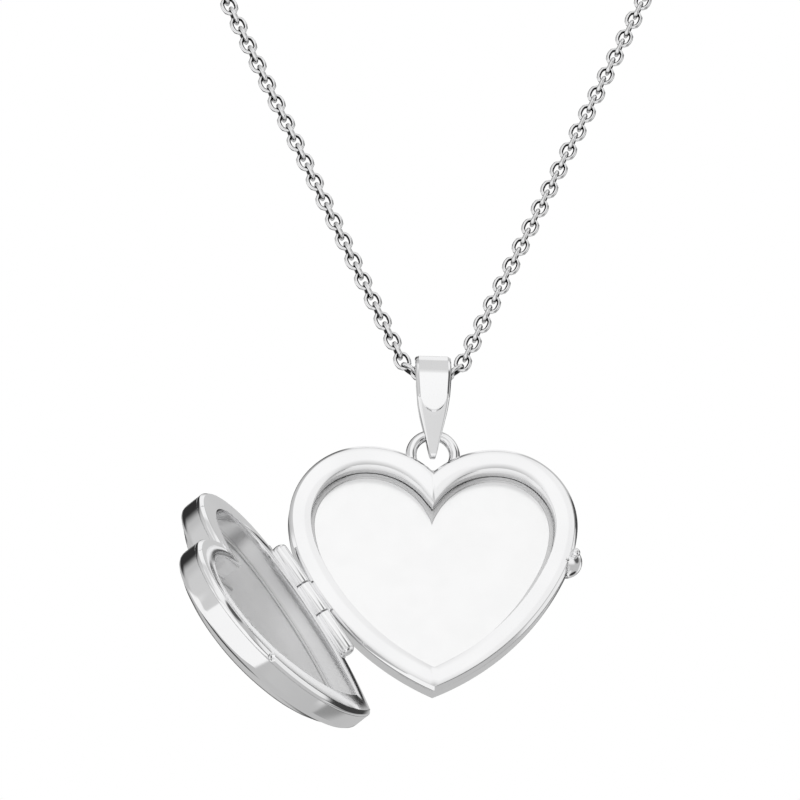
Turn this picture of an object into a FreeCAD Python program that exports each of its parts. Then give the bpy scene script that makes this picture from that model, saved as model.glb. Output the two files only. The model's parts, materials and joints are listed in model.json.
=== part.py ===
import FreeCAD, Part
import math
import os

# Open heart locket on a fine trace chain. Millimetres, degrees.
# Frame: origin at the middle of the chain where it carries the bail,
# +X right, +Z up, the viewer at -Y.
V = FreeCAD.Vector

# Heart outline: half of it runs clockwise from the cleft in tangent arcs.
CLEFT_Z = 6.9
CLEFT_HEADING = 46.0
SHOULDER_R = 6.9
LOBE_R = 5.9
HIP_R = 10.0
FLANK_R = 20.0
SHOULDER_TURN = 49.0
LOBE_TURN = 91.5
HIP_TURN = 21.0

# One half of the locket, depths measured from the parting plane.
PARTING_GAP = 0.06
BEVEL = 0.25
BEVEL_DEPTH = 0.30
RIM_DEPTH = 0.55
RIM_WIDTH = 1.45
SKIRT_T = 0.25
RECESS_DEPTH = 1.85
WALL_T = 0.37
FLOOR_T = 0.17
FLOOR_CLEARANCE = 0.12
FRAME_W = 0.35
FRAME_T = 0.40
FRAME_CLEARANCE = 0.01
BACK_T = 0.33
EDGE_DROP = 0.72
EDGE_MID_DROP = 0.37
EDGE_MID_IN = 0.13
EDGE_LOW_DROP = 0.14
EDGE_LOW_IN = 0.45
DOME_START = 0.86
CASE_DOME = ((0.66, 0.13), (0.40, 0.21))
COVER_DOME_START_RISE = 0.24
COVER_DOME = ((0.66, 0.70), (0.40, 1.11), (0.20, 1.28))
DOME_CENTRE_Z = -1.0

# Hinge
HINGE_TILT = 33.0
HINGE_OFFSET = 9.88
OPEN_ANGLE = 118.5
KNUCKLE_R = 0.65
PIN_R = 0.22
PIN_CLEARANCE = 0.03
KNUCKLE_SPLITS = (-7.00, -3.35, -0.52, 3.22)
KNUCKLE_GAP = 0.04
KNUCKLE_END_ROUND = 0.40
PIN_END_COVER = 0.35
LEAF_INNER = 0.42
LEAF_OUTER = 1.70
LEAF_NEAR = 0.20
LEAF_FAR = 0.72
LEAF_OVERRUN = 0.25

# Catch
LUG_R = 1.40
LUG_POS = (10.10, 0.15)
LUG_DEPTH = 0.95
BALL_R = 0.40
BALL_POS = (10.90, 0.68)
BALL_FORWARD = 0.12
DIMPLE_CLEARANCE = 0.04

# Loop behind the cleft
LOOP_R = 1.69
LOOP_WIRE_R = 0.44
LOOP_BACK = 1.0
LOOP_Z = 8.90

# Bail, drawn in side view and cut to its front outline
BAIL_TOP_R = 1.30
BAIL_TOP_Z = 0.12
BAIL_TIP_R = 0.50
BAIL_TIP_Z = -6.68
BAIL_EYE_R = 0.75
BAIL_EYE_Z = 0.02
BAIL_SEAT_CLEARANCE = 0.06
BAIL_SEAT_DROP = 0.12
BAIL_HANG = 5.20
BAIL_FRONT = ((1.41, 1.50), (1.41, -1.30), (1.25, -2.50), (1.10, -3.47), (0.75, -4.89),
              (0.56, -5.66), (0.29, -6.84), (0.15, -7.30))
BAIL_EDGE_BEVEL = 0.20

# Trace chain
LINK_WIRE_R = 0.165
LINK_W = 1.35
LINK_PITCH = 0.925
LINK_SLACK = 0.05
CHAIN_FLAT_RUN = 0.80
CHAIN_BEND_R = 1.73
CHAIN_LEAN = 24.5
CHAIN_TOP_Z = 33.4
END_RING_R = 0.95
END_RING_WIRE_R = 0.20
TAG_T = 0.30
TAG_HOLE_R = 0.60
TAG_R = 1.15
TAG_SMALL_R = 0.34
TAG_WEB = 0.42
TAG_REACH = 1.51

# Where the locket's own frame hangs
HEART_POS = V(0.0, -LOOP_BACK, -BAIL_HANG - LOOP_Z - LOOP_R)


def half_arcs(grow):
    """Centre, radius, start and end heading of each arc of the right half."""
    arcs = []
    x, z, h = 0.0, CLEFT_Z, math.radians(CLEFT_HEADING)
    runs = ((SHOULDER_R, SHOULDER_TURN), (LOBE_R, LOBE_TURN), (HIP_R, HIP_TURN), (FLANK_R, None))
    for radius, turn in runs:
        cx = x + radius * math.sin(h)
        cz = z - radius * math.cos(h)
        if turn is None:
            end = -math.pi - math.asin(cx / radius)
        else:
            end = h - math.radians(turn)
        arcs.append([cx, cz, radius + grow, h, end])
        x = cx - radius * math.sin(end)
        z = cz + radius * math.cos(end)
        h = end
    first, last = arcs[0], arcs[-1]
    first[3] = math.asin(first[0] / first[2])
    last[4] = -math.pi - math.asin(last[0] / last[2])
    return arcs


def heart_wire(grow, depth, scale=1.0):
    """Closed heart outline in the plane y = depth of the locket's frame."""
    def at(arc, h, side):
        x = arc[0] - arc[2] * math.sin(h)
        z = arc[1] + arc[2] * math.cos(h)
        z = DOME_CENTRE_Z + (z - DOME_CENTRE_Z) * scale
        return V(side * x * scale, depth, z)

    right = []
    left = []
    for arc in half_arcs(grow):
        mid = (arc[3] + arc[4]) / 2
        for side, store in ((1, right), (-1, left)):
            pts = [at(arc, h, side) for h in (arc[3], mid, arc[4])]
            if side < 0:
                pts.reverse()
            store.append(Part.Arc(*pts).toShape())
    left.reverse()
    return Part.Wire(right + left)


def heart_prism(grow, low, high):
    return Part.Face(heart_wire(grow, low)).extrude(V(0, high - low, 0))


def heart_loft(sections):
    """Solid through heart outlines given as (grow, depth) or (grow, depth, scale)."""
    return Part.makeLoft([heart_wire(*s) for s in sections], True, True)


CAVITY_DEPTH = RECESS_DEPTH + FLOOR_T + FLOOR_CLEARANCE
BACK_DEPTH = CAVITY_DEPTH + BACK_T
EDGE_GROW = BEVEL - EDGE_LOW_IN


def body_sections(dome, start_rise):
    """Outside of one half from the rim face to the middle of its back."""
    return [(0.0, PARTING_GAP / 2), (BEVEL, BEVEL_DEPTH), (BEVEL, RIM_DEPTH),
            (BEVEL, BACK_DEPTH - EDGE_DROP),
            (BEVEL - EDGE_MID_IN, BACK_DEPTH - EDGE_MID_DROP),
            (EDGE_GROW, BACK_DEPTH - EDGE_LOW_DROP),
            (EDGE_GROW, BACK_DEPTH + start_rise, DOME_START)] + [
                (EDGE_GROW, BACK_DEPTH + rise, scale) for scale, rise in dome]


def half_pieces(dome, start_rise):
    """Shell, rim, floor and photo frame of one half, its back towards +Y."""
    low = PARTING_GAP / 2
    inside = BEVEL - WALL_T
    outer = heart_loft(body_sections(dome, start_rise)[2:])
    cavity = [(inside, RIM_DEPTH), (inside, BACK_DEPTH - EDGE_DROP),
              (inside - EDGE_MID_IN, CAVITY_DEPTH - EDGE_LOW_DROP),
              (EDGE_GROW, CAVITY_DEPTH + start_rise, DOME_START)]
    cavity += [(EDGE_GROW, CAVITY_DEPTH + rise, scale) for scale, rise in dome[:-1]]
    shell = outer.cut(heart_loft(cavity))

    rim = heart_loft([(0.0, low), (BEVEL, BEVEL_DEPTH), (BEVEL, RIM_DEPTH)])
    skirt = heart_prism(SKIRT_T - RIM_WIDTH, RIM_DEPTH, RECESS_DEPTH)
    rim = rim.fuse(skirt).cut(heart_prism(-RIM_WIDTH, 0.0, BACK_DEPTH))

    floor = heart_prism(SKIRT_T - RIM_WIDTH, RECESS_DEPTH, RECESS_DEPTH + FLOOR_T)

    rim_in = -RIM_WIDTH - FRAME_CLEARANCE
    frame = heart_prism(rim_in, RECESS_DEPTH - FRAME_T, RECESS_DEPTH)
    frame = frame.cut(heart_prism(rim_in - FRAME_W, 0.0, BACK_DEPTH))
    return {"shell": shell, "rim": rim, "photo_floor": floor, "photo_frame": frame}


TILT = math.radians(HINGE_TILT)
AXIS = V(math.sin(TILT), 0, -math.cos(TILT))
TOWARDS_CASE = V(math.cos(TILT), 0, math.sin(TILT))
HINGE_FOOT = TOWARDS_CASE * -HINGE_OFFSET


def hinge_point(t, s=0.0, y=0.0):
    return HINGE_FOOT + AXIS * t + TOWARDS_CASE * s + V(0, y, 0)


def hinge_rod(radius, low, high):
    return Part.makeCylinder(radius, high - low, hinge_point(low), AXIS)


def hinge_box(low, high, s0, s1, y0, y1):
    corners = [hinge_point(low, s0, y0), hinge_point(low, s1, y0),
               hinge_point(low, s1, y1), hinge_point(low, s0, y1)]
    face = Part.Face(Part.makePolygon(corners + corners[:1]))
    return face.extrude(AXIS * (high - low))


def rounded_end(solid, at):
    """Rounds the outer edge of the knuckle end at axis position `at`."""
    edges = [e for e in solid.Edges
             if len(e.Vertexes) == 1 and e.Length > 5 * KNUCKLE_R
             and abs((e.Vertexes[0].Point - HINGE_FOOT).dot(AXIS) - at) < 1e-6]
    return solid.makeFillet(KNUCKLE_END_ROUND, edges)


def hinge_pieces(body):
    """Knuckles, leaves and pin, with the cover still closed."""
    a, b, c, d = KNUCKLE_SPLITS
    gap = KNUCKLE_GAP
    bore = PIN_R + PIN_CLEARANCE
    bore_low, bore_high = a + PIN_END_COVER, d - PIN_END_COVER
    upper = rounded_end(hinge_rod(KNUCKLE_R, a, b), a).cut(hinge_rod(bore, bore_low, b))
    lower = rounded_end(hinge_rod(KNUCKLE_R, c, d), d).cut(hinge_rod(bore, c, bore_high))
    middle = hinge_rod(KNUCKLE_R, b + gap, c - gap).cut(hinge_rod(PIN_R, a, d))
    pin = hinge_rod(PIN_R, bore_low + gap, bore_high - gap)

    mirrored = body.mirror(V(0, 0, 0), V(0, 1, 0))
    cover_leaf = hinge_box(a - LEAF_OVERRUN, d + LEAF_OVERRUN, LEAF_INNER, LEAF_OUTER,
                           -LEAF_FAR, -LEAF_NEAR)
    cover_leaf = cover_leaf.cut(mirrored).cut(hinge_rod(KNUCKLE_R, a - 1, d + 1))
    cover_leaf = cover_leaf.cut(hinge_rod(KNUCKLE_R + 2 * gap, b, c))
    case_leaf = hinge_box(b + gap, c - gap, LEAF_INNER, LEAF_OUTER, LEAF_NEAR, LEAF_FAR)
    case_leaf = case_leaf.cut(body).cut(hinge_rod(KNUCKLE_R, a, d))
    return {"cover_knuckle_upper": upper, "cover_knuckle_lower": lower,
            "case_knuckle": middle, "hinge_pin": pin,
            "cover_hinge_leaf": cover_leaf, "case_hinge_leaf": case_leaf}


def stadium(radius_a, z_a, radius_b, z_b):
    """Side-view hull of two circles on the Z axis, as a face in the YZ plane."""
    lean = math.asin((radius_a - radius_b) / (z_a - z_b))
    up, out = math.sin(lean), math.cos(lean)
    a1 = V(0, out * radius_a, z_a - up * radius_a)
    a2 = V(0, -out * radius_a, z_a - up * radius_a)
    b1 = V(0, out * radius_b, z_b - up * radius_b)
    b2 = V(0, -out * radius_b, z_b - up * radius_b)
    top = Part.Arc(a2, V(0, 0, z_a + radius_a), a1).toShape()
    foot = Part.Arc(b1, V(0, 0, z_b - radius_b), b2).toShape()
    return Part.Face(Part.Wire([top, Part.makeLine(a1, b1), foot, Part.makeLine(b2, a2)]))


def bail_outline(inset, y0, y1):
    narrow = 1 - inset / BAIL_FRONT[0][0]
    pts = [V(x * narrow, y0, z) for x, z in BAIL_FRONT]
    pts += [V(-p.x, y0, p.z) for p in reversed(pts)]
    return Part.Face(Part.makePolygon(pts + pts[:1])).extrude(V(0, y1 - y0, 0))


def make_bail():
    seat_z = -BAIL_HANG - BAIL_SEAT_DROP
    seat_r = LOOP_WIRE_R + BAIL_SEAT_CLEARANCE
    wide = V(4, 0, 0)
    side = stadium(BAIL_TOP_R, BAIL_TOP_Z, BAIL_TIP_R, BAIL_TIP_Z)
    slim = stadium(BAIL_TOP_R - BAIL_EDGE_BEVEL, BAIL_TOP_Z,
                   BAIL_TIP_R - BAIL_EDGE_BEVEL / 2, BAIL_TIP_Z)
    eye = stadium(BAIL_EYE_R, BAIL_EYE_Z, seat_r, seat_z)
    full, thin, hole = [f.translated(V(-2, 0, 0)).extrude(wide) for f in (side, slim, eye)]
    core = full.common(bail_outline(BAIL_EDGE_BEVEL, -2, 2))
    edges = thin.common(bail_outline(0.0, -2, 2))
    return core.fuse(edges).cut(hole).removeSplitter()


def link(length, width, wire_r):
    """Oval link lying in the XZ plane, its length along Z."""
    r = width / 2 - wire_r
    reach = length / 2 - wire_r - r
    arcs = [Part.Arc(V(-r, 0, reach), V(0, 0, reach + r), V(r, 0, reach)).toShape(),
            Part.makeLine(V(r, 0, reach), V(r, 0, -reach)),
            Part.Arc(V(r, 0, -reach), V(0, 0, -reach - r), V(-r, 0, -reach)).toShape(),
            Part.makeLine(V(-r, 0, -reach), V(-r, 0, reach))]
    path = Part.Wire(arcs)
    ring = Part.Wire([Part.makeCircle(wire_r, V(r, 0, 0), V(0, 0, 1))])
    return path.makePipeShell([ring], True, False)


def chain_point(run):
    """Position and tangent angle from +X at a signed run from the middle."""
    side = 1 if run >= 0 else -1
    run = abs(run)
    bend = math.radians(90 - CHAIN_LEAN)
    arc = CHAIN_BEND_R * bend
    bent = min(max(run - CHAIN_FLAT_RUN, 0.0), arc)
    turn = bent / CHAIN_BEND_R
    x = min(run, CHAIN_FLAT_RUN) + CHAIN_BEND_R * math.sin(turn)
    z = CHAIN_BEND_R * (1 - math.cos(turn))
    rest = max(run - CHAIN_FLAT_RUN - arc, 0.0)
    x += rest * math.cos(bend)
    z += rest * math.sin(bend)
    return V(side * x, 0, z), math.degrees(turn) * side


def placed(shape, run, twist):
    pos, turn = chain_point(run)
    out = shape.copy()
    out.rotate(V(0, 0, 0), V(0, 0, 1), twist)
    out.rotate(V(0, 0, 0), V(0, 1, 0), 90 - turn)
    out.translate(pos)
    return out


def make_chain():
    length = LINK_PITCH + LINK_SLACK + 4 * LINK_WIRE_R
    one = link(length, LINK_W, LINK_WIRE_R)
    legs = {-1: [], 0: [], 1: []}
    count = 0
    while chain_point((count + 1) * LINK_PITCH)[0].z < CHAIN_TOP_Z:
        count += 1
    count -= 1 - count % 2
    for i in range(-count, count + 1):
        side = 0 if abs(i) <= 3 else (1 if i > 0 else -1)
        legs[side].append(placed(one, i * LINK_PITCH, 90 * ((i + 1) % 2)))
    pieces = {"chain_left": Part.makeCompound(legs[-1]),
              "chain_middle": Part.makeCompound(legs[0]),
              "chain_right": Part.makeCompound(legs[1])}

    ring = Part.makeTorus(END_RING_R, END_RING_WIRE_R, V(0, 0, 0), V(0, 1, 0))
    last = LINK_PITCH * count + length / 2 - 2 * LINK_WIRE_R
    ring_run = last + END_RING_R - END_RING_WIRE_R + LINK_SLACK
    twist = 90 * (count % 2)
    tag_run = ring_run + END_RING_R + TAG_SMALL_R - END_RING_WIRE_R - LINK_SLACK
    for side, name in ((-1, "left"), (1, "right")):
        pieces["chain_end_ring_" + name] = placed(ring, side * ring_run, twist)
        pieces["chain_end_tag_" + name] = make_tag(side, tag_run)
    return pieces


def make_tag(side, run):
    """Flat tag: a small hole rides the end ring, a larger one takes the neck chain."""
    foot_r = TAG_SMALL_R + TAG_WEB
    back = -TAG_T / 2
    body = Part.makeCylinder(TAG_R, TAG_T, V(0, back, TAG_REACH), V(0, 1, 0))
    foot = Part.makeCylinder(foot_r, TAG_T, V(0, back, 0), V(0, 1, 0))
    web = Part.makeBox(2 * foot_r, TAG_T, TAG_REACH, V(-foot_r, back, 0))
    tag = body.fuse(foot).fuse(web).removeSplitter()
    tag = tag.cut(Part.makeCylinder(TAG_HOLE_R, TAG_T, V(0, back, TAG_REACH), V(0, 1, 0)))
    tag = tag.cut(Part.makeCylinder(TAG_SMALL_R, TAG_T, V(0, back, 0), V(0, 1, 0)))
    pos, turn = chain_point(side * run)
    tag.rotate(V(0, 0, 0), V(0, 1, 0), side * 90 - turn)
    tag.translate(pos)
    return tag


def build():
    half = half_pieces(CASE_DOME, 0.0)
    front = half_pieces(COVER_DOME, COVER_DOME_START_RISE)
    body = heart_loft(body_sections(CASE_DOME, 0.0))
    hinge = hinge_pieces(body)

    case = {"case_" + name: shape for name, shape in half.items()}
    case["case_knuckle"] = hinge["case_knuckle"]
    case["case_hinge_leaf"] = hinge["case_hinge_leaf"]
    case["hinge_pin"] = hinge["hinge_pin"]

    low = PARTING_GAP / 2
    ball_at = V(BALL_POS[0], -BALL_FORWARD, BALL_POS[1])
    ball = Part.makeSphere(BALL_R, ball_at)
    lug = Part.makeCylinder(LUG_R, LUG_DEPTH - low, V(LUG_POS[0], low, LUG_POS[1]), V(0, 1, 0))
    case["case_catch_lug"] = lug.cut(body).cut(ball)
    case["case_catch_ball"] = ball.cut(body)

    loop = Part.makeTorus(LOOP_R, LOOP_WIRE_R, V(0, LOOP_BACK, LOOP_Z), V(0, 1, 0))
    case["case_loop"] = max(loop.cut(body).Solids, key=lambda solid: solid.Volume)

    dimple = Part.makeSphere(BALL_R + DIMPLE_CLEARANCE, ball_at)
    cover = {"cover_" + name: shape.mirror(V(0, 0, 0), V(0, 1, 0)).cut(dimple)
             for name, shape in front.items()}
    for name in ("cover_knuckle_upper", "cover_knuckle_lower", "cover_hinge_leaf"):
        cover[name] = hinge[name]
    for shape in cover.values():
        shape.rotate(HINGE_FOOT, AXIS, OPEN_ANGLE)

    pieces = {}
    for group in (case, cover):
        for name, shape in group.items():
            pieces[name] = shape.translated(HEART_POS)
    pieces["bail"] = make_bail()
    pieces.update(make_chain())
    return pieces


os.makedirs("parts", exist_ok=True)
for node, shape in build().items():
    shape.exportStep("parts/" + node + ".step")
    box = shape.BoundBox
    print(node, len(shape.Solids), shape.isValid(), round(shape.Volume, 3),
          [round(v, 2) for v in (box.XMin, box.YMin, box.ZMin, box.XMax, box.YMax, box.ZMax)])
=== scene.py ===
import math
import json

import bmesh
import bpy
from mathutils import Matrix, Vector


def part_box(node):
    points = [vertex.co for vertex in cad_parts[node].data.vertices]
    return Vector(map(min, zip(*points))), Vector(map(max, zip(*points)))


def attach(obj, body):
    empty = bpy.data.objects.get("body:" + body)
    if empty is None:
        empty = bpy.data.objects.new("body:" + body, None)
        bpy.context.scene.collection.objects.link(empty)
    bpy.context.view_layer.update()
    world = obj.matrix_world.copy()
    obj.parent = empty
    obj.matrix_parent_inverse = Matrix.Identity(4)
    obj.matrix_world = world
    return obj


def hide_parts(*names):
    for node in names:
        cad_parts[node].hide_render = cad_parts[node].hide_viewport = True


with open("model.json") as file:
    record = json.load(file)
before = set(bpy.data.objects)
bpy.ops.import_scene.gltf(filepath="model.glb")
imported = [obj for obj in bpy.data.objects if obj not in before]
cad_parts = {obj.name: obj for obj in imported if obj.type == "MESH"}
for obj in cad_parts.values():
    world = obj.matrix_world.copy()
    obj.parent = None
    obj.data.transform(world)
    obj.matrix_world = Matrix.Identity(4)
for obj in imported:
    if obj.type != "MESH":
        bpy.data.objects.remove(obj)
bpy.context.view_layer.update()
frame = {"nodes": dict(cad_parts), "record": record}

bl_info = {
    "name": "Heart locket on a trace chain",
    "version": (1, 0, 0),
    "blender": (4, 5, 0),
    "location": "View3D > Sidebar > Locket",
    "description": "Builds an open heart locket, its bail, hinge, catch and trace chain",
    "category": "Object",
}

MM = 0.001
MERGE = 0.0005 * MM

# Heart outline: half of it runs clockwise from the cleft in tangent arcs.
CLEFT_Z = 6.9
CLEFT_HEADING = 46.0
HEART_RADII = (6.9, 5.9, 10.0, 20.0)
HEART_TURNS = (49.0, 91.5, 21.0)
ARC_STEPS = (26, 44, 14, 38)

# A dome's sections grow rounder towards its middle, about a centre of their own.
DOME_CENTRE_Z = -1.0
DOME_ROUND_R = 8.8
DOME_ROUND_SPAN = 0.75
DOME_ROUND_POWER = 1.2

# Outlines well inside the heart have a softened cleft: its lift and half width.
CLEFT_SOFT_BELOW = -1.0
CLEFT_SOFT_LIFT = 0.22
CLEFT_SOFT_HALF = 0.6

RIM_LIFT = 0.03
BEVEL_GROW = 0.25

HINGE = frame["record"]["behaviour"]["joints"][2]
HINGE_AT = Vector(HINGE["pos_m"])
HINGE_AXIS = Vector(HINGE["axis"]).normalized()
OPEN_ANGLE = -math.radians(HINGE["range_deg"][0])


# ---------------------------------------------------------------- geometry

def half_arcs(grow):
    """Centre, radius and headings of each arc of the right half, in millimetres."""
    arcs = []
    x, z, h = 0.0, CLEFT_Z, math.radians(CLEFT_HEADING)
    for i, radius in enumerate(HEART_RADII):
        cx = x + radius * math.sin(h)
        cz = z - radius * math.cos(h)
        if i < len(HEART_TURNS):
            end = h - math.radians(HEART_TURNS[i])
        else:
            end = -math.pi - math.asin(cx / radius)
        arcs.append([cx, cz, radius + grow, h, end])
        x = cx - radius * math.sin(end)
        z = cz + radius * math.cos(end)
        h = end
    arcs[0][3] = math.asin(arcs[0][0] / arcs[0][2])
    arcs[-1][4] = -math.pi - math.asin(arcs[-1][0] / arcs[-1][2])
    return arcs


def heart_loop(grow, scale=1.0):
    """Closed heart outline as (x, z) pairs: cleft, right side, tip, left side.

    A smaller scale also rounds it off, as the sections of a dome do.
    """
    right = []
    for (cx, cz, radius, start, end), steps in zip(half_arcs(grow), ARC_STEPS):
        for k in range(steps):
            h = start + (end - start) * k / steps
            right.append((cx - radius * math.sin(h), cz + radius * math.cos(h)))
    last = half_arcs(grow)[-1]
    tip = (0.0, last[1] + last[2] * math.cos(last[4]))
    left = [(-x, z) for x, z in right[:0:-1]]
    loop = right + [tip] + left
    if grow < CLEFT_SOFT_BELOW:
        loop = [(x, z + CLEFT_SOFT_LIFT * max(0.0, 1.0 - abs(x) / CLEFT_SOFT_HALF) ** 2
                 if z > 0 else z) for x, z in loop]
    share = 0.0
    if scale < 1.0:
        share = min(1.0, (1.0 - scale) / DOME_ROUND_SPAN) ** DOME_ROUND_POWER
    rounded = []
    for x, z in loop:
        z -= DOME_CENTRE_Z
        even = scale * (1.0 + (DOME_ROUND_R / math.hypot(x, z) - 1.0) * share)
        rounded.append((x * even, DOME_CENTRE_Z + z * even))
    return rounded


def heart_origin():
    """Where the heart's own frame stands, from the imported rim."""
    low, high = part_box("case_rim")
    tip_z = min(z for x, z in heart_loop(BEVEL_GROW))
    return Vector(((low[0] + high[0]) / 2, low[1] - RIM_LIFT * MM, low[2] - tip_z * MM))


HEART_AT = heart_origin()
QUARTER_TURN = Matrix.Rotation(math.pi / 2, 4, "X")
SWING = (Matrix.Translation(HINGE_AT) @ Matrix.Rotation(OPEN_ANGLE, 4, HINGE_AXIS)
         @ Matrix.Translation(-HINGE_AT))


def on_case(x, depth, z):
    """A point of the case, in millimetres: across, away from the rim's face, up."""
    return HEART_AT + Vector((x, depth, z)) * MM


def on_cover(x, depth, z):
    """The same point of the cover, swung open about the hinge."""
    return SWING @ (HEART_AT + Vector((x, -depth, z)) * MM)


def select_only(obj=None):
    """Leaves edit mode and selects just that object, or nothing."""
    if bpy.context.object and bpy.context.object.mode != "OBJECT":
        bpy.ops.object.mode_set(mode="OBJECT")
    bpy.ops.object.select_all(action="DESELECT")
    if obj:
        bpy.context.view_layer.objects.active = obj
        obj.select_set(True)


def finish_mesh(name, smooth=35.0, bevel=0.0, segments=2, bevel_angle=25.0):
    """Names the active piece, rounds its edges and settles its place and shading."""
    obj = bpy.context.object
    obj.name = name
    obj.data.name = name
    bpy.ops.object.transform_apply(location=True, rotation=True, scale=True)
    if bevel:
        mod = obj.modifiers.new("edge", "BEVEL")
        mod.width = bevel
        mod.segments = segments
        mod.limit_method = "ANGLE"
        mod.angle_limit = math.radians(bevel_angle)
        mod.use_clamp_overlap = True
        bpy.ops.object.modifier_apply(modifier=mod.name)
    bpy.ops.object.shade_smooth_by_angle(angle=math.radians(smooth))
    return obj


def loft(name, rings, around=False, capped=True, **finish):
    """Extrudes a ring of edges from station to station and closes the body."""
    select_only()
    count = len(rings[0])
    bpy.ops.mesh.primitive_circle_add(vertices=count, radius=MM, fill_type="NOTHING")
    obj = bpy.context.object
    bpy.ops.object.mode_set(mode="EDIT")
    bm = bmesh.from_edit_mesh(obj.data)
    place = bm.verts.layers.int.new("place")
    station = bm.verts.layers.int.new("station")
    for i, vert in enumerate(bm.verts):
        vert[place] = i
        vert.co = rings[0][i]
    bmesh.update_edit_mesh(obj.data)
    bpy.ops.mesh.select_mode(type="VERT")
    bpy.ops.mesh.select_all(action="SELECT")
    stations = rings[1:] + ([rings[0]] if around else [])
    for number, ring in enumerate(stations, 1):
        bpy.ops.mesh.extrude_region()
        bm = bmesh.from_edit_mesh(obj.data)
        place = bm.verts.layers.int["place"]
        station = bm.verts.layers.int["station"]
        for vert in bm.verts:
            if vert.select:
                vert.co = ring[vert[place]]
                vert[station] = number
        bmesh.update_edit_mesh(obj.data)
    if capped and not around:
        bpy.ops.mesh.edge_face_add()
        bm = bmesh.from_edit_mesh(obj.data)
        station = bm.verts.layers.int["station"]
        for vert in bm.verts:
            vert.select_set(vert[station] == 0)
        bm.select_flush(True)
        bmesh.update_edit_mesh(obj.data)
        bpy.ops.mesh.edge_face_add()
    bpy.ops.mesh.select_all(action="SELECT")
    bpy.ops.mesh.remove_doubles(threshold=MERGE)
    bpy.ops.mesh.normals_make_consistent(inside=False)
    bpy.ops.object.mode_set(mode="OBJECT")
    for layer in ("place", "station"):
        obj.data.attributes.remove(obj.data.attributes[layer])
    return finish_mesh(name, **finish)


def heart_rings(sections, on):
    """Heart outlines for a loft from sections of grow, depth and optional scale."""
    return [[on(x, depth, z) for x, z in heart_loop(grow, *scale)]
            for grow, depth, *scale in sections]


def wire_ring(name, radius, wire, place, steps, sides):
    """A closed ring of round wire, its section extruded step by step about place's Z."""
    rings = []
    for i in range(steps):
        a = 2 * math.pi * i / steps
        ring = []
        for k in range(sides):
            b = 2 * math.pi * k / sides
            reach = radius + wire * math.cos(b)
            ring.append(place @ Vector((reach * math.cos(a), reach * math.sin(a),
                                        wire * math.sin(b))))
        rings.append(ring)
    return loft(name, rings, around=True, smooth=60.0)


def dress(piece, kind):
    """Gives a piece its one metal."""
    piece.data.materials.clear()
    piece.data.materials.append(finish_of(kind))


def show(piece, body, kind, slot, *nodes):
    """Sets a finished piece on its body, in its metal, in place of those nodes; its slot is
    not used.
    """
    if kind:
        dress(piece, kind)
    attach(piece, body)
    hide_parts(*nodes)


# --------------------------------------------------------------- materials

class Wire:
    """A shader value: Python operators on it add Math nodes."""

    def __init__(self, maker, socket):
        self.maker = maker
        self.socket = socket

    def math(self, operation, *others):
        return self.maker.node("ShaderNodeMath", {"operation": operation}, (self,) + others)

    def __add__(self, other):
        return self.math("ADD", other)

    def __mul__(self, other):
        return self.math("MULTIPLY", other)

    def __sub__(self, other):
        return self.math("SUBTRACT", other)

    def __rsub__(self, other):
        return self.maker.node("ShaderNodeMath", {"operation": "SUBTRACT"}, (other, self))

    __radd__ = __add__
    __rmul__ = __mul__

    def step(self, low, high):
        """0 below low, 1 above high, smooth between."""
        return self.maker.node("ShaderNodeMapRange",
                               {"interpolation_type": "SMOOTHSTEP"},
                               (self, low, high, 0.0, 1.0))


# Sockets of the Mix node in its colour mode, and of Texture Coordinate.
MIX_FACTOR, MIX_A, MIX_B, MIX_RESULT = 0, 6, 7, 2
OBJECT_OUT = 3


class Maker:
    """Adds nodes to one tree."""

    def __init__(self, tree):
        self.tree = tree
        tree.nodes.clear()

    def node(self, kind, settings=None, inputs=(), out=0):
        node = self.tree.nodes.new(kind)
        for key, value in (settings or {}).items():
            setattr(node, key, value)
        pairs = inputs.items() if isinstance(inputs, dict) else enumerate(inputs)
        for key, value in pairs:
            if isinstance(value, Wire):
                self.tree.links.new(value.socket, node.inputs[key])
            else:
                node.inputs[key].default_value = value
        return Wire(self, node.outputs[out]) if len(node.outputs) else node

    def mix(self, factor, a, b):
        return self.node("ShaderNodeMix", {"data_type": "RGBA"},
                         {MIX_FACTOR: factor, MIX_A: a, MIX_B: b}, MIX_RESULT)

    def noise(self, where, scale, detail=3.0, rough=0.5):
        return self.node("ShaderNodeTexNoise", None,
                         {"Vector": where, "Scale": scale, "Detail": detail,
                          "Roughness": rough})


MOTTLE_SCALE, WEAR_SCALE = 180.0, 420.0
MOTTLE_DARKENS, MOTTLE_LIGHTENS = 0.025, 1.01
RUB_SHARE, WEAR_SHARE, EVEN_SHARE = 0.3, 0.12, 0.8
SCRATCH_DEPTH = 0.002 * MM


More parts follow.
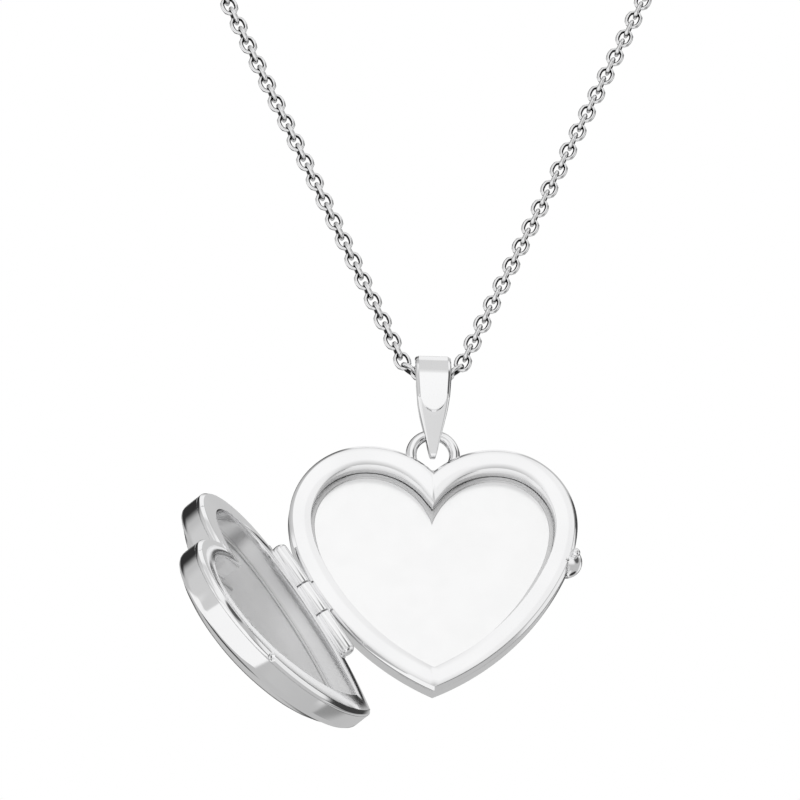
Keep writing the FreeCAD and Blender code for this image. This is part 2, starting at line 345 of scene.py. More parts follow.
def metal(name, colour, rough, grain, scratch, patch):
    """Solid metal: fine rubbed lines in its gloss and a slight mottle in its colour.

    A smaller patch makes the mottle and the wear finer and fainter.
    """
    mat = bpy.data.materials.new(name)
    mat.use_nodes = True
    make = Maker(mat.node_tree)
    at = make.node("ShaderNodeTexCoord", None, (), OBJECT_OUT)
    lines = make.node("ShaderNodeMapping", None,
                      {"Vector": at, "Scale": (1.0, 1.0, 9.0), "Rotation": (0.5, 0.3, 0.7)})
    mottle = make.noise(at, MOTTLE_SCALE / patch, 3.0)
    rub = make.noise(lines, grain, 5.0, 0.6)
    worn = make.noise(at, WEAR_SCALE / patch, 4.0, 0.6).step(0.30, 0.70)
    dark = tuple(c * (1.0 - MOTTLE_DARKENS * patch) for c in colour) + (1.0,)
    light = tuple(min(1.0, c * MOTTLE_LIGHTENS) for c in colour) + (1.0,)
    tone = make.mix(mottle.step(0.3, 0.7), dark, light)
    gloss = (rub.step(0.35, 0.75) * (rough * RUB_SHARE)
             + worn * (rough * WEAR_SHARE * patch) + rough * EVEN_SHARE)
    bump = make.node("ShaderNodeBump", None,
                     {"Strength": scratch, "Distance": SCRATCH_DEPTH, "Height": rub})
    shader = make.node("ShaderNodeBsdfPrincipled", None,
                       {"Base Color": tone, "Metallic": 1.0, "Roughness": gloss,
                        "Normal": bump})
    make.node("ShaderNodeOutputMaterial", None, {"Surface": shader})
    return mat


# ---------------------------------------------------------------- settings

def length_setting(name, description, millimetres):
    return bpy.props.FloatProperty(
        name=name, description=description, default=millimetres * MM,
        unit="LENGTH", subtype="DISTANCE", precision=5)


def colour_setting(name, description, colour):
    return bpy.props.FloatVectorProperty(
        name=name, description=description, default=colour, subtype="COLOR", size=3)


class LocketSizes(bpy.types.PropertyGroup):
    """Sizes of the locket's halves, hinge and catch."""
    rim_width: length_setting(
        "Rim width", "Flat rim between outline and recess", 1.45)
    bevel_width: length_setting(
        "Rim bevel", "How far the bevel widens each half", 0.25)
    recess_depth: length_setting(
        "Recess depth", "From the rim down to the photo floor", 1.85)
    back_depth: length_setting(
        "Back depth", "From the rim to the back's rolled edge", 2.47)
    case_dome: length_setting(
        "Case dome", "Rise of the case's back over its rolled edge", 0.35)
    cover_dome: length_setting(
        "Cover dome", "Rise of the cover's front over its rolled edge", 1.65)
    knuckle_radius: length_setting(
        "Knuckle radius", "Outer radius of the hinge knuckles", 0.65)
    ball_radius: length_setting(
        "Catch ball radius", "Radius of the snap ball", 0.37)


class ChainSizes(bpy.types.PropertyGroup):
    """Sizes of the trace chain."""
    link_width: length_setting(
        "Link width", "Outer width of one oval link", 1.35)
    link_pitch: length_setting(
        "Link pitch", "Distance from link to link", 0.925)
    wire_radius: length_setting(
        "Wire radius", "Radius of the link wire", 0.165)


class LocketColours(bpy.types.PropertyGroup):
    """Colours of the metals and the stage."""
    silver: colour_setting(
        "Silver", "Polished metal", (0.93, 0.93, 0.935))
    chain: colour_setting(
        "Chain", "Metal of the chain's links", (0.86, 0.86, 0.865))
    # Painted shade: a near-black copy of the chain's metal for the link faces turned in
    # towards the link's middle, where shade falls.
    tarnish: colour_setting(
        "Tarnish", "Darkened metal inside the chain's links", (0.035, 0.035, 0.036))
    recess: colour_setting(
        "Recess", "Metal of the photo floors", (0.97, 0.97, 0.971))
    steel: colour_setting(
        "Pin steel", "Metal of the hinge pin", (0.62, 0.62, 0.64))
    floor: colour_setting(
        "Floor", "Pale floor", (0.80, 0.80, 0.80))


# Kind of finish: material, its colour setting and the share of it (a share below 1 darkens
# the metal as painted shade), roughness, grain of the rubbed lines, their depth, size of
# the mottle's patches.
FINISHES = {
    "polished": ("polished silver", "silver", 1.0, 0.08, 5200.0, 0.06, 1.0),
    "chain": ("chain silver", "chain", 1.0, 0.10, 9000.0, 0.10, 1.0),
    # Painted shade inside the chain's links: the near-black metal of their inward faces.
    "tarnish": ("chain tarnish", "tarnish", 1.0, 0.16, 9000.0, 0.12, 1.0),
    "recess": ("recess silver", "recess", 1.0, 0.20, 7000.0, 0.05, 0.3),
    # The photo ring is the recess metal darkened to 0.80: painted shade, a soft shadow at the
    # foot of the recess walls.
    "ring": ("photo ring silver", "recess", 0.80, 0.45, 7000.0, 0.05, 0.3),
    # The cover's photo floor is the recess metal darkened to 0.88 as painted shade; its
    # roughness makes it satin.
    "satin": ("satin recess silver", "recess", 0.88, 0.50, 7000.0, 0.05, 0.3),
    "steel": ("pin steel", "steel", 1.0, 0.25, 8000.0, 0.20, 1.0),
}
MADE = {}


def finish_of(kind):
    """The material of that kind, made on first use."""
    if kind not in MADE:
        name, setting, shade, rough, grain, scratch, patch = FINISHES[kind]
        colour = [c * shade for c in getattr(bpy.context.scene.locket_colours, setting)]
        MADE[kind] = metal(name, colour, rough, grain, scratch, patch)
    return MADE[kind]


# --------------------------------------------------------------- operators

CAMERA_ELEVATION = math.radians(-22.9)
CAMERA_AZIMUTH = math.radians(-4.3)
CAMERA_DISTANCE = 0.504
SENSOR = 36.0
# The frame's side, the focal length and the heart's place from the top left, in one unit.
FRAME_SIDE = 800
FOCAL = 6556.0
HEART_IN_FRAME = (434.0, 557.6)


class LOCKET_OT_camera(bpy.types.Operator):
    """Place the camera"""
    bl_idname = "locket.camera"
    bl_label = "Camera"

    def execute(self, context):
        level = math.cos(CAMERA_ELEVATION)
        back = Vector((math.sin(CAMERA_AZIMUTH) * level, -math.cos(CAMERA_AZIMUTH) * level,
                       math.sin(CAMERA_ELEVATION)))
        right = (-back).cross(Vector((0, 0, 1))).normalized()
        up = right.cross(-back)
        across = (HEART_IN_FRAME[0] - FRAME_SIDE / 2) * CAMERA_DISTANCE / FOCAL
        above = (FRAME_SIDE / 2 - HEART_IN_FRAME[1]) * CAMERA_DISTANCE / FOCAL
        at = HEART_AT - right * across - up * above + back * CAMERA_DISTANCE
        data = bpy.data.cameras.new("camera")
        data.sensor_width = SENSOR
        data.lens = FOCAL * SENSOR / FRAME_SIDE
        data.clip_start = 0.01
        data.clip_end = 20.0
        camera = bpy.data.objects.new("camera", data)
        camera.matrix_world = Matrix((
            (right.x, up.x, back.x, at.x), (right.y, up.y, back.y, at.y),
            (right.z, up.z, back.z, at.z), (0, 0, 0, 1)))
        context.scene.collection.objects.link(camera)
        context.scene.camera = camera
        return {"FINISHED"}


# One leg's control points: level inside the bail, two corners, then the straight run.
LEG_LEAN = math.radians(24.5)
LEG_START = (2.374, 1.0126)
CHAIN_ROUTE = ((0.0, 0.0), (0.292, 0.0), (1.308, 0.0), (2.163, 0.550)) + tuple(
    (LEG_START[0] + run * math.sin(LEG_LEAN), LEG_START[1] + run * math.cos(LEG_LEAN))
    for run in (0.508, 3.0, 10.0, 18.0, 26.0, 35.15))

LINK_SLACK = 0.05 * MM
LAST_LINK = 41
# A face of a link gets the painted shade where it looks this much back towards the link's
# middle.
PAINTED_SHADE_FACES = -0.20
END_RING_R = 0.95 * MM
END_WIRE_R = 0.20 * MM


def route_points(side):
    """Points of one leg's smooth line, read from its NURBS spline."""
    curve = bpy.data.curves.new("leg line", "CURVE")
    curve.dimensions = "3D"
    curve.resolution_u = 48
    spline = curve.splines.new("NURBS")
    spline.points.add(len(CHAIN_ROUTE) - 1)
    for point, (x, z) in zip(spline.points, CHAIN_ROUTE):
        point.co = (side * x * MM, 0.0, z * MM, 1.0)
    spline.order_u = 3
    spline.use_endpoint_u = True
    holder = bpy.data.objects.new("leg line", curve)
    mesh = bpy.data.meshes.new_from_object(holder)
    points = [v.co.copy() for v in mesh.vertices]
    bpy.data.objects.remove(holder)
    bpy.data.meshes.remove(mesh)
    if points[0].length > points[-1].length:
        points.reverse()
    return points


def walk(points, run):
    """Point and direction at that run along the points."""
    for a, b in zip(points, points[1:]):
        step = (b - a).length
        if run <= step:
            return a.lerp(b, run / step), (b - a).normalized()
        run -= step
    way = (points[-1] - points[-2]).normalized()
    return points[-1] + way * run, way


def oval_link(name, length, width, radius, stations=7, sides=10):
    """One oval link in the XZ plane, its length along Z."""
    bend = width / 2 - radius
    reach = length / 2 - radius - bend
    centre = []
    for k in range(stations):
        a = math.pi * k / (stations - 1)
        centre.append(((math.cos(a) * bend, reach + math.sin(a) * bend),
                       (math.cos(a), math.sin(a))))
    centre += [((-x, -z), (-nx, -nz)) for (x, z), (nx, nz) in centre]
    rings = []
    for (x, z), (nx, nz) in centre:
        ring = []
        for k in range(sides):
            a = 2 * math.pi * k / sides
            out = math.cos(a) * radius
            ring.append(Vector((x + nx * out, math.sin(a) * radius, z + nz * out)))
        rings.append(ring)
    link = loft(name, rings, around=True, smooth=60.0)
    link.data.materials.append(finish_of("chain"))
    link.data.materials.append(finish_of("tarnish"))
    # Faces turned in towards the link's middle take the near-black painted shade; the rest
    # keep the chain's metal.
    for face in link.data.polygons:
        core = Vector((0.0, 0.0, max(-reach, min(reach, face.center.z))))
        outward = face.center - core
        inside = face.normal.dot(outward.normalized()) < PAINTED_SHADE_FACES
        face.material_index = 1 if inside else 0
    return link


def turned(way, twist):
    """Rotation that lays a link's length along the way, twisted about it."""
    base = Vector((0, 0, 1)).rotation_difference(way).to_matrix().to_4x4()
    return base @ Matrix.Rotation(math.radians(twist), 4, "Z")


class LOCKET_OT_chain(bpy.types.Operator):
    """Build both legs of the neck chain with their end rings and tags"""
    bl_idname = "locket.chain"
    bl_label = "Neck chain"

    def execute(self, context):
        sizes = context.scene.chain_sizes
        length = sizes.link_pitch + LINK_SLACK + 4 * sizes.wire_radius
        pattern = oval_link("link pattern", length, sizes.link_width, sizes.wire_radius)
        for side, name in ((-1, "left"), (1, "right")):
            points = route_points(side)
            first = 0 if side < 0 else 1
            select_only()
            for i in range(first, LAST_LINK + 1):
                at, way = walk(points, i * sizes.link_pitch)
                link = pattern.copy()
                link.data = pattern.data.copy()
                link.data.transform(Matrix.Translation(at) @ turned(way, 90 * ((i + 1) % 2)))
                context.scene.collection.objects.link(link)
                link.select_set(True)
                if i == first:
                    context.view_layer.objects.active = link
            bpy.ops.object.join()
            leg = finish_mesh("chain_leg_" + name, smooth=60.0)
            ring, tag = self.end_pieces(sizes, points, length, name)
            nodes = ["chain_" + name] + (["chain_middle"] if side < 0 else [])
            show(leg, "chain", None, "polished_silver", *nodes)
        bpy.data.objects.remove(pattern)
        return {"FINISHED"}

    def end_pieces(self, sizes, points, length, name):
        """The soldered end ring, and the flat tag that takes the rest of the chain."""
        run = (LAST_LINK * sizes.link_pitch + length / 2 - 2 * sizes.wire_radius
               + END_RING_R - END_WIRE_R + LINK_SLACK)
        at, way = walk(points, run)
        lay = Matrix.Translation(at) @ turned(way, 90 * (LAST_LINK % 2)) @ QUARTER_TURN
        ring = wire_ring("end_ring_" + name, END_RING_R, END_WIRE_R, lay, 48, 16)
        show(ring, "chain", "polished", "polished_silver", "chain_end_ring_" + name)
        tag = frame["nodes"]["chain_end_tag_" + name]
        dress(tag, "polished")
        return ring, tag


# The bail, in millimetres from the middle of the chain: half width at each height.
BAIL_WIDTHS = ((1.5, 1.41), (-1.3, 1.41), (-2.5, 1.25), (-3.47, 1.10), (-4.89, 0.75),
               (-5.66, 0.56), (-6.84, 0.29), (-7.3, 0.15))
# The back leaf narrows by this share, over this run in depth.
BACK_NARROWS, BACK_FROM_Y, BACK_RUN = 0.13, 0.2, 0.9
FRONT_Y = -1.24
FOOT_Z, FOOT_R, FOOT_R_INSET = -6.68, 0.48, 0.3
FOOT_STEPS, FACET_STEPS, CROWN_STEPS = 8, 7, 24
# The raised panel: share of the half width, ends of its U-shaped knee, size of the step.
PANEL_SHARE = 0.80
FACET_TOP_Z, KNEE_LOW_Z, KNEE_HIGH_Z = -2.30, -3.62, -2.45
KNEE_RUN, KNEE_STEP, FLANK_STEP = 0.30, 0.02, 0.005
CROWN_Z, TOP_Z = -0.63, 1.42
# The eye's opening: radius and centre of its lower and upper end.
EYE_LOW_R, EYE_LOW_Z, EYE_TOP_R, EYE_TOP_Z = 0.55, -5.32, 0.75, 0.02
EYE_SHARE = 0.96
# Stations from the middle to the flank: share of the half width, inset of the outline.
BAIL_STATIONS = (
    (0.0, 0.0), (0.16, 0.0), (0.32, 0.0), (0.46, 0.0), (0.58, 0.0), (0.68, 0.0),
    (0.745, 0.0), (0.785, 0.0), (0.80, 0.0), (0.81, 0.014), (0.90, 0.056),
    (0.94, 0.095), (0.965, 0.135), (0.985, 0.185), (0.996, 0.235), (1.0, 0.29))


def bail_width(z):
    """Half width of the bail at that height."""
    for (z0, w0), (z1, w1) in zip(BAIL_WIDTHS, BAIL_WIDTHS[1:]):
        if z >= z1:
            f = min(1.0, max(0.0, (z0 - z) / (z0 - z1)))
            return w0 + (w1 - w0) * f
    return BAIL_WIDTHS[-1][1]


def bail_point(f, y, z):
    """A point at that share of the half width; the back leaf is a little narrower."""
    narrow = 1.0 - BACK_NARROWS * min(1.0, max(0.0, (y + BACK_FROM_Y) / BACK_RUN))
    return Vector((f * bail_width(z) * narrow, y, z)) * MM


def bail_profile(f, inset):
    """Front half of the outer side view, lowest point to top, at that share of the width."""
    foot_r = FOOT_R - inset * FOOT_R_INSET
    front = FRONT_Y + inset
    lean = math.atan2(-FRONT_Y - foot_r * 0.95, FACET_TOP_Z - FOOT_Z)
    half = [(0.0, FOOT_Z - foot_r)]
    for k in range(1, FOOT_STEPS + 1):
        a = (math.pi / 2 - lean) * k / FOOT_STEPS
        half.append((-foot_r * math.sin(a), FOOT_Z - foot_r * math.cos(a)))
    start_y, start_z = half[-1]

    def facet(z):
        return start_y + (front - start_y) * (z - start_z) / (FACET_TOP_Z - start_z)

    share = min(1.0, abs(f) / PANEL_SHARE)
    knee_z = KNEE_LOW_Z + (KNEE_HIGH_Z - KNEE_LOW_Z) * (1.0 - math.sqrt(1.0 - share * share))
    edge = front - FLANK_STEP if abs(f) > PANEL_SHARE else front
    for k in range(1, FACET_STEPS + 1):
        z = start_z + (knee_z - KNEE_RUN - start_z) * k / FACET_STEPS
        half.append((facet(z), z))
    half += [(facet(knee_z - KNEE_STEP), knee_z - KNEE_STEP),
             (edge, knee_z + KNEE_STEP), (front, knee_z + KNEE_RUN)]
    for k in range(CROWN_STEPS + 1):
        a = math.pi / 2 * k / CROWN_STEPS
        half.append((front * math.cos(a), CROWN_Z + (TOP_Z - CROWN_Z - inset) * math.sin(a)))
    return half


def eye_profile(half):
    """The eye's opening, one point abreast of each point of the outer side view."""
    bottom, top = half[0][1], half[-1][1]
    points = []
    for _, z in half:
        if z < EYE_LOW_Z:
            a = math.pi / 2 * (z - bottom) / (EYE_LOW_Z - bottom)
            points.append((-EYE_LOW_R * math.sin(a), EYE_LOW_Z - EYE_LOW_R * math.cos(a)))
        elif z > EYE_TOP_Z:
            a = math.pi / 2 * (z - EYE_TOP_Z) / (top - EYE_TOP_Z)
            points.append((-EYE_TOP_R * math.cos(a), EYE_TOP_Z + EYE_TOP_R * math.sin(a)))
        else:
            rise = (z - EYE_LOW_Z) / (EYE_TOP_Z - EYE_LOW_Z)
            points.append((-EYE_LOW_R - (EYE_TOP_R - EYE_LOW_R) * rise, z))
    return points


def bail_ring(f, half):
    """Closes a front half with its back, at that share of the half width."""
    return [bail_point(f, y, z) for y, z in half + [(-y, z) for y, z in half[-2:0:-1]]]


class LOCKET_OT_bail(bpy.types.Operator):
    """Build the tapered bail"""
    bl_idname = "locket.bail"
    bl_label = "Bail"

    def execute(self, context):
        stations = [(-f, inset) for f, inset in BAIL_STATIONS[:0:-1]] + list(BAIL_STATIONS)
        rings = [bail_ring(f, bail_profile(f, inset)) for f, inset in stations]
        eye = eye_profile(bail_profile(*BAIL_STATIONS[-1]))
        rings += [bail_ring(f, eye) for f in (EYE_SHARE, -EYE_SHARE)]
        bail = loft("bail_leaf", rings, around=True, smooth=16.0, bevel=0.035 * MM,
                    segments=3, bevel_angle=24.0)
        show(bail, "bail", "polished", "polished_silver", "bail")
        return {"FINISHED"}


# Sections of the halves, in millimetres: how far they grow past the outline, and their
# depth from the plane where the halves meet.
RIM_FACE = 0.03
RIM_EDGE, RIM_FOOT = 0.30, 0.55
RECESS_GROW = 0.25
# The rolled edge of a shell, outer skin: in from the bevel and short of the back.
ROLLED = ((0.30, 0.20), (0.16, 0.29), (0.07, 0.41), (0.015, 0.58), (0.0, 0.78))
# Its inner skin, from the rim's foot to where the dome begins.
INNER = ((0.37, 0.73), (0.50, 0.48))
DOME_EDGE, DOME_OUT, DOME_IN = 0.45, 0.14, 0.47
DOME_SHARES = (0.0, 0.08, 0.2, 0.32, 0.44, 0.56, 0.68, 0.78, 0.86, 0.93, 1.0)
DOME_IN_SHARES = (0.84, 0.66, 0.4, 0.0)
PHOTO_RING_PLAY, PHOTO_RING_REACH, PHOTO_RING_HEIGHT = 0.01, 0.36, 0.16
# Middle of the snap ball in the case; closed, it meets the socket in the cover.
BALL_AT = (10.92, -0.12, 0.68)
SOCKET_AT = (10.92, 0.12, 0.68)
SOCKET_PLAY = 0.06 * MM


class LOCKET_OT_halves(bpy.types.Operator):
    """Build the shell, rim and photo frame of both halves"""
    bl_idname = "locket.halves"
    bl_label = "Case and cover"

    def rim_plate(self, sizes, name, on):
        """Front rim with its bevel and the recess walls."""
        rim, bevel = sizes.rim_width / MM, sizes.bevel_width / MM
        recess = sizes.recess_depth / MM
        sections = [(0.0, RIM_FACE), (bevel, RIM_EDGE), (bevel, RIM_FOOT),
                    (RECESS_GROW - rim, RIM_FOOT), (RECESS_GROW - rim, recess),
                    (-rim, recess), (-rim, RIM_FACE)]
        return loft(name + "_rim_plate", heart_rings(sections, on), around=True,
                    smooth=30.0, bevel=0.045 * MM, segments=3)

    def catch_socket(self, context, rim):
        """Hollow that the snap ball springs into, cut from the cover's rim."""
        reach = context.scene.locket_sizes.ball_radius + SOCKET_PLAY
        select_only()
        bpy.ops.mesh.primitive_uv_sphere_add(segments=48, ring_count=24, radius=reach)
        ball = bpy.context.object
        ball.data.transform(Matrix.Translation(on_cover(*SOCKET_AT)))
        select_only(rim)
        mod = rim.modifiers.new("socket", "BOOLEAN")
        mod.operation = "DIFFERENCE"
        mod.solver = "EXACT"
        mod.object = ball
        bpy.ops.object.modifier_apply(modifier=mod.name)
        bpy.data.objects.remove(ball)
        return finish_mesh(rim.name, smooth=30.0)

    def shell_dome(self, sizes, name, on):
        """Skirt, rolled edge and dome, as an outer and an inner skin."""
        bevel, back = sizes.bevel_width / MM, sizes.back_depth / MM
        rise = (sizes.case_dome if name == "case" else sizes.cover_dome) / MM
        edge = bevel - DOME_EDGE

        def dome(depth, shares):
            return [(edge, depth + rise * (1.0 - k ** 4), k) for k in shares]

        sections = dome(back - DOME_OUT, DOME_SHARES)
        sections += [(bevel - side, back - short) for side, short in ROLLED]
        sections += [(bevel, RIM_FOOT), (bevel - INNER[0][0], RIM_FOOT)]
        sections += [(bevel - side, back - short) for side, short in INNER]
        sections += dome(back - DOME_IN, DOME_IN_SHARES)
        return loft(name + "_shell_dome", heart_rings(sections, on), capped=False, smooth=40.0)

    def photo_ring(self, sizes, name, on):
        """Thin ring that holds the picture at the foot of the recess."""
        outer = -sizes.rim_width / MM - PHOTO_RING_PLAY
        inner = -sizes.rim_width / MM - PHOTO_RING_REACH
        foot = sizes.recess_depth / MM
        sections = [(outer, foot - PHOTO_RING_HEIGHT), (inner, foot - PHOTO_RING_HEIGHT),
                    (inner, foot), (outer, foot)]
        return loft(name + "_photo_ring", heart_rings(sections, on), around=True,
                    smooth=30.0, bevel=0.05 * MM, segments=3)

    def execute(self, context):
        sizes = context.scene.locket_sizes
        for name, on in (("case", on_case), ("cover", on_cover)):
            piece = self.rim_plate(sizes, name, on)
            if name == "cover":
                piece = self.catch_socket(context, piece)
            show(piece, name, "polished", "polished_silver", name + "_rim")
            piece = self.shell_dome(sizes, name, on)
            show(piece, name, "polished", "polished_silver", name + "_shell")
            piece = self.photo_ring(sizes, name, on)
            # The ring's metal is darkened as painted shade, a soft shadow at the foot of the
            # recess walls.
            show(piece, name, "ring", "recess_silver", name + "_photo_frame")
            # The cover's photo floor takes the satin metal, darkened as painted shade; the
            # case's floor keeps the full recess colour.
            dress(frame["nodes"][name + "_photo_floor"],
                  "recess" if name == "case" else "satin")
        return {"FINISHED"}


# Ends of the knuckles along the hinge axis, in millimetres.
KNUCKLE_SPLITS = (-7.00, -3.35, -0.52, 3.22)
KNUCKLE_GAP = 0.10 * MM
KNUCKLE_SIDES, KNUCKLE_ROUND_STEPS = 72, 6
END_ROUND, JOINT_ROUND = 0.40 * MM, 0.05 * MM


def knuckle(name, low, high, radius, low_round, high_round):
    """A tube end to end on the hinge axis, each end rounded over."""
    side = HINGE_AXIS.cross(Vector((0, 1, 0))).normalized()
    other = HINGE_AXIS.cross(side)

    def end(at, sign, size):
        turns = [math.pi / 2 * k / KNUCKLE_ROUND_STEPS for k in range(KNUCKLE_ROUND_STEPS + 1)]
        return [(at + sign * size * (1 - math.sin(a)), radius - size * (1 - math.cos(a)))
                for a in turns]

    rings = []
    for t, r in end(low, 1, low_round)[::-1] + end(high, -1, high_round):
        ring = []
        for k in range(KNUCKLE_SIDES):
            a = 2 * math.pi * k / KNUCKLE_SIDES
            ring.append(HINGE_AT + HINGE_AXIS * t
                        + (side * math.cos(a) + other * math.sin(a)) * r)
        rings.append(ring)
    return loft(name, rings, smooth=40.0)


class LOCKET_OT_hinge(bpy.types.Operator):
    """Build the three knuckles and dress the leaves and pin"""
    bl_idname = "locket.hinge"
    bl_label = "Hinge"

    def execute(self, context):
        radius = context.scene.locket_sizes.knuckle_radius
        a, b, c, d = (t * MM for t in KNUCKLE_SPLITS)
        upper = knuckle("cover_knuckle_top", a, b, radius, END_ROUND, JOINT_ROUND)
        show(upper, "cover", "polished", "polished_silver", "cover_knuckle_upper")
        lower = knuckle("cover_knuckle_low", c, d, radius, JOINT_ROUND, END_ROUND)
        show(lower, "cover", "polished", "polished_silver", "cover_knuckle_lower")
        middle = knuckle("case_knuckle_mid", b + KNUCKLE_GAP, c - KNUCKLE_GAP, radius,
                         JOINT_ROUND, JOINT_ROUND)
        show(middle, "case", "polished", "polished_silver", "case_knuckle")
        for node, kind in (("cover_hinge_leaf", "polished"), ("case_hinge_leaf", "polished"),
                           ("hinge_pin", "steel")):
            dress(frame["nodes"][node], kind)
        return {"FINISHED"}


# The catch lug: a flattened ball with its inner side cut off flat.
LUG_AT = (10.10, 0.50, 0.15)
LUG_R = 1.40 * MM
LUG_FLATNESS = 0.34
LUG_CUT_X = 10.28
BALL_STEPS, BALL_SIDES = 24, 48
LOOP_AT = (0.0, 1.0, 8.90)
LOOP_R, LOOP_WIRE_R = 1.69 * MM, 0.42 * MM


class LOCKET_OT_catch(bpy.types.Operator):
    """Build the catch lug, its snap ball and the loop behind the cleft"""
    bl_idname = "locket.catch"
    bl_label = "Catch and loop"

    def execute(self, context):
        select_only()
        bpy.ops.mesh.primitive_uv_sphere_add(segments=96, ring_count=48, radius=LUG_R)
        lug = bpy.context.object
        lug.data.transform(Matrix.Translation(on_case(*LUG_AT)) @ QUARTER_TURN
                           @ Matrix.Diagonal((1.0, 1.0, LUG_FLATNESS, 1.0)))
        bpy.ops.object.mode_set(mode="EDIT")
        bpy.ops.mesh.select_all(action="SELECT")
        bpy.ops.mesh.bisect(plane_co=on_case(LUG_CUT_X, 0.0, 0.0), plane_no=(1.0, 0.0, 0.0),
                            use_fill=True, clear_inner=True)
        bpy.ops.object.mode_set(mode="OBJECT")
        lug = finish_mesh("catch_tab", smooth=40.0, bevel=0.06 * MM, segments=3,
                          bevel_angle=50.0)
        show(lug, "case", "polished", "polished_silver", "case_catch_lug")

        radius = context.scene.locket_sizes.ball_radius
        rings = []
        for i in range(BALL_STEPS + 1):
            a = math.pi * i / BALL_STEPS
            rings.append([
                on_case(*BALL_AT) + radius * Vector((
                    math.sin(a) * math.cos(b), math.sin(a) * math.sin(b), math.cos(a)))
                for b in (2 * math.pi * k / BALL_SIDES for k in range(BALL_SIDES))])
        ball = loft("catch_bead", rings, capped=False, smooth=60.0)
        show(ball, "case", "polished", "polished_silver", "case_catch_ball")

        lay = Matrix.Translation(on_case(*LOOP_AT)) @ QUARTER_TURN
        loop = wire_ring("hanging_loop", LOOP_R, LOOP_WIRE_R, lay, 160, 40)
        show(loop, "case", "polished", "polished_silver", "case_loop")
        return {"FINISHED"}


def seen_by(make):
    """1 for camera and transmission rays, and 1 for glossy rays."""
    path = make.tree.nodes.new("ShaderNodeLightPath")
    camera = Wire(make, path.outputs["Is Camera Ray"])
    through = Wire(make, path.outputs["Is Transmission Ray"])
    return camera.math("MAXIMUM", through), Wire(make, path.outputs["Is Glossy Ray"])


STUDIO_LEVEL = 0.53


def studio(make, direction):
    """Level of the studio in a direction: soft boxes, grey panels and dark flags.

    Each is laid over the ones before it, and its node carries its name.
    """
    split = make.node("ShaderNodeSeparateXYZ", None, (direction,)).socket.node
    x, y, z = (Wire(make, split.outputs[i]) for i in range(3))
    front, left, down = y * -1.0, x * -1.0, z * -1.0
    wide = x.math("ABSOLUTE")

    def towards(aim, wide_cos, near_cos):
        dot = make.node("ShaderNodeVectorMath", {"operation": "DOT_PRODUCT"},
                        (direction, tuple(Vector(aim).normalized())), 1)
        return dot.step(wide_cos, near_cos)

    level = STUDIO_LEVEL
    for name, tone, share in (
            ("grey card behind", 0.60, towards((0.37, 0.73, 0.58), 0.90, 0.97)),
            ("grey wall left", 0.64, left.step(0.50, 0.72) * front.step(-0.15, 0.15)),
            ("box overhead", 0.94, z.step(0.60, 0.80) * x.step(-0.12, -0.02)
             * (1.0 - x.step(0.18, 0.28))),
            ("flag behind left", 0.03, left.step(0.04, 0.16) * y.step(0.15, 0.50)
             * z.step(0.38, 0.55)),
            ("box front left", 0.88, towards((-0.50, -0.86, 0.04), 0.95, 0.975)),
            ("box front", 0.93, front.step(0.25, 0.45) * z.step(0.12, 0.26)
             * (1.0 - wide.step(0.42, 0.58))),
            ("grey band front", 0.76, front.step(0.80, 0.90) * down.step(-0.14, -0.05)
             * (1.0 - wide.step(0.25, 0.35))),
            ("grey band high", 0.70, z.step(0.46, 0.60) * x.step(-0.08, 0.0)
             * front.step(0.05, 0.20) * (1.0 - x.step(0.16, 0.22))),
            ("box under the front", 0.98, front.step(0.06, 0.10) * down.step(0.14, 0.19)
             * (1.0 - x.step(0.36, 0.50))
             * (1.0 - front.step(0.84, 0.90) * (1.0 - wide.step(0.28, 0.40)))),
            ("grey card under", 0.56, down.step(0.55, 0.80) * x.step(0.20, 0.30)
             * (1.0 - front.step(0.02, 0.06)) * (1.0 - y.step(0.10, 0.60))),
            ("dark strip behind", 0.30, x.step(0.38, 0.43) * y.step(0.70, 0.73)
             * down.step(0.0, 0.10)),
            ("box left", 0.96, left.step(0.80, 0.90) * (1.0 - z.step(0.10, 0.25))),
            ("box high right", 0.96, towards((0.62, -0.22, 0.75), 0.93, 0.97)),
            ("strip behind low", 0.80, x.step(0.44, 0.47) * y.step(0.62, 0.65)
             * down.step(0.40, 0.48) * (1.0 - y.step(0.68, 0.70))),
            ("flag front right", 0.10, towards((0.60, -0.68, 0.42), 0.970, 0.990)),
            ("flag behind right", 0.05, x.step(0.50, 0.62) * y.step(0.25, 0.45)
             * z.step(-0.35, -0.25) * (1.0 - z.step(0.42, 0.52))),
            ("box right", 0.88, x.step(0.88, 0.93) * (1.0 - z.step(0.28, 0.36))),
            ("flag right", 0.08, towards((0.86, 0.30, 0.41), 0.94, 0.98)),
            ("flag band behind", 0.06, z.step(0.31, 0.35) * (1.0 - z.step(0.43, 0.48))
             * x.step(0.05, 0.15) * y.step(-0.05, 0.05)),
            ("flag low right", 0.04, towards((0.63, -0.58, -0.51), 0.955, 0.975)),
            ("flag low left", 0.04, towards((-0.62, 0.60, -0.50), 0.90, 0.95)),
            ("flag behind", 0.08, towards((0.07, 0.92, 0.39), 0.965, 0.990))):
        level = level + (tone - level) * share
        level.socket.node.label = name
    return level


FLOOR_Z = -0.30
FLOOR_SIZE = 6.0
# How much of the floor's own glow a camera ray sees over its lit surface.
FLOOR_GLOW_SHARE = 0.8
FLOOR_GLOW = (0.92, 0.92, 0.92, 1.0)
BACKDROP = (1.0, 1.0, 1.0, 1.0)
SOFT_LIGHT = (0.50, 0.50, 0.50, 1.0)
LAMP_AT = (-0.05, -0.60, 0.30)
LAMP_SIZE = 0.30
LAMP_WATTS = 0.02


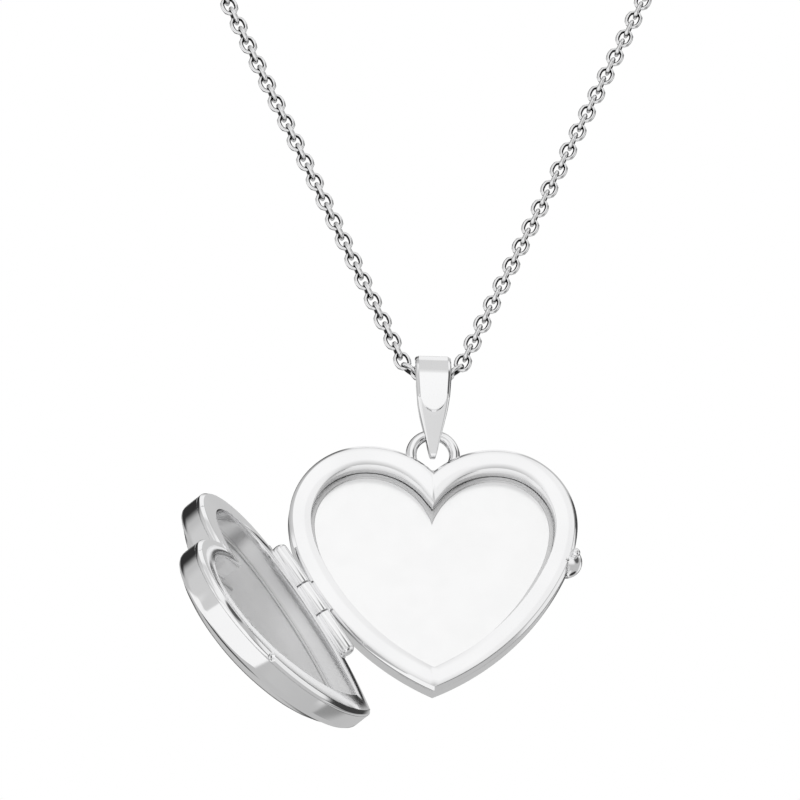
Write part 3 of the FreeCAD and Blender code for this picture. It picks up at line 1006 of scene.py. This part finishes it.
class LOCKET_OT_stage(bpy.types.Operator):
    """Lay the pale floor and set the soft studio light"""
    bl_idname = "locket.stage"
    bl_label = "Stage"

    def execute(self, context):
        select_only()
        bpy.ops.mesh.primitive_plane_add(size=FLOOR_SIZE, location=(0, 0, FLOOR_Z))
        floor = finish_mesh("floor")
        mat = bpy.data.materials.new("pale floor")
        mat.use_nodes = True
        make = Maker(mat.node_tree)
        at = make.node("ShaderNodeTexCoord", None, (), OBJECT_OUT)
        tint = tuple(context.scene.locket_colours.floor)
        tone = make.mix(make.noise(at, 3.0, 2.0), tuple(c * 0.98 for c in tint) + (1.0,),
                        tint + (1.0,))
        shows, glossy = seen_by(make)
        away = make.node("ShaderNodeVectorMath", {"operation": "SUBTRACT"},
                         (at, tuple(HEART_AT)))
        away = make.node("ShaderNodeVectorMath", {"operation": "NORMALIZE"}, (away,))
        glow = make.mix(glossy, FLOOR_GLOW, studio(make, away))
        matte = make.node("ShaderNodeBsdfDiffuse", None, {"Color": tone})
        lit = make.node("ShaderNodeEmission", None, {"Color": glow, "Strength": 1.0})
        share = shows * FLOOR_GLOW_SHARE + glossy
        shader = make.node("ShaderNodeMixShader", None, (share, matte, lit))
        make.node("ShaderNodeOutputMaterial", None, {"Surface": shader})
        floor.data.materials.append(mat)

        world = bpy.data.worlds.new("studio")
        context.scene.world = world
        world.use_nodes = True
        make = Maker(world.node_tree)
        around = make.node("ShaderNodeTexCoord")
        shows, glossy = seen_by(make)
        tone = make.mix(glossy, SOFT_LIGHT, studio(make, around))
        tone = make.mix(shows, tone, BACKDROP)
        glow = make.node("ShaderNodeBackground", None, {"Color": tone, "Strength": 1.0})
        make.node("ShaderNodeOutputWorld", None, {"Surface": glow})

        data = bpy.data.lights.new("key", "AREA")
        data.size = LAMP_SIZE
        data.energy = LAMP_WATTS
        lamp = bpy.data.objects.new("key", data)
        lamp.location = LAMP_AT
        aim = HEART_AT - lamp.location
        lamp.rotation_euler = aim.to_track_quat("-Z", "Y").to_euler()
        context.scene.collection.objects.link(lamp)
        context.scene.view_settings.view_transform = "Standard"
        return {"FINISHED"}


class LOCKET_PT_panel(bpy.types.Panel):
    """Sizes, colours and build steps of the locket"""
    bl_idname = "LOCKET_PT_panel"
    bl_label = "Locket"
    bl_space_type = "VIEW_3D"
    bl_region_type = "UI"
    bl_category = "Locket"

    def draw(self, context):
        scene = context.scene
        for group in (scene.locket_sizes, scene.chain_sizes, scene.locket_colours):
            column = self.layout.column()
            for key in group.bl_rna.properties.keys():
                if key not in ("rna_type", "name"):
                    column.prop(group, key)
        for operator in OPERATORS:
            self.layout.operator(operator.bl_idname)


OPERATORS = (LOCKET_OT_camera, LOCKET_OT_chain, LOCKET_OT_bail, LOCKET_OT_halves,
             LOCKET_OT_hinge, LOCKET_OT_catch, LOCKET_OT_stage)
CLASSES = (LocketSizes, ChainSizes, LocketColours) + OPERATORS + (LOCKET_PT_panel,)


def register():
    for cls in CLASSES:
        bpy.utils.register_class(cls)
    bpy.types.Scene.locket_sizes = bpy.props.PointerProperty(type=LocketSizes)
    bpy.types.Scene.chain_sizes = bpy.props.PointerProperty(type=ChainSizes)
    bpy.types.Scene.locket_colours = bpy.props.PointerProperty(type=LocketColours)


def unregister():
    del bpy.types.Scene.locket_colours
    del bpy.types.Scene.chain_sizes
    del bpy.types.Scene.locket_sizes
    for cls in reversed(CLASSES):
        bpy.utils.unregister_class(cls)


def main():
    register()
    bpy.ops.locket.camera()
    bpy.ops.locket.chain()
    bpy.ops.locket.bail()
    bpy.ops.locket.halves()
    bpy.ops.locket.hinge()
    bpy.ops.locket.catch()
    bpy.ops.locket.stage()


if __name__ == "__main__":
    main()
